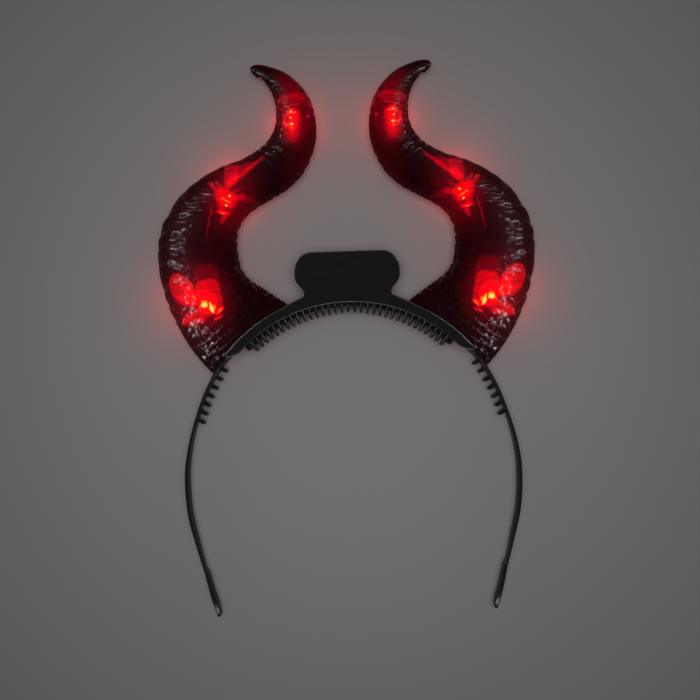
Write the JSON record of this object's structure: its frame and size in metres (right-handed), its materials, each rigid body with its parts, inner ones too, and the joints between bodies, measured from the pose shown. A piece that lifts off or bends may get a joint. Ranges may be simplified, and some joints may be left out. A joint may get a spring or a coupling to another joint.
{
  "type": "devil horns headband",
  "caption": "Springy headband with a comb, a blank front tab and curved ringed horns with lamps inside.",
  "frame": {"origin": "on the surface that the headband lies on, under the middle of its bounding box", "axes": "+Y from the arms' tips to the horns' tips, +Z from the back to the front plate, +X to the right seen from the front; the headband lies on its back"},
  "size_m": [0.1534, 0.2241, 0.0267],
  "materials": {
    "band_black": "fine satin, moulded",
    "horn_dark_red": "gloss, ringed, dark translucent",
    "strip_white": "plain",
    "lamp_red": "clear red, glowing"
  },
  "bodies": {
    "root": {"headband": "band_black", "horn_left": "horn_dark_red", "horn_right": "horn_dark_red", "light_strip_left": "strip_white", "light_strip_right": "strip_white", "lamp_left_low": "lamp_red", "lamp_left_mid": "lamp_red", "lamp_left_top": "lamp_red", "lamp_right_low": "lamp_red", "lamp_right_mid": "lamp_red", "lamp_right_top": "lamp_red"}
  },
  "joints": []
}
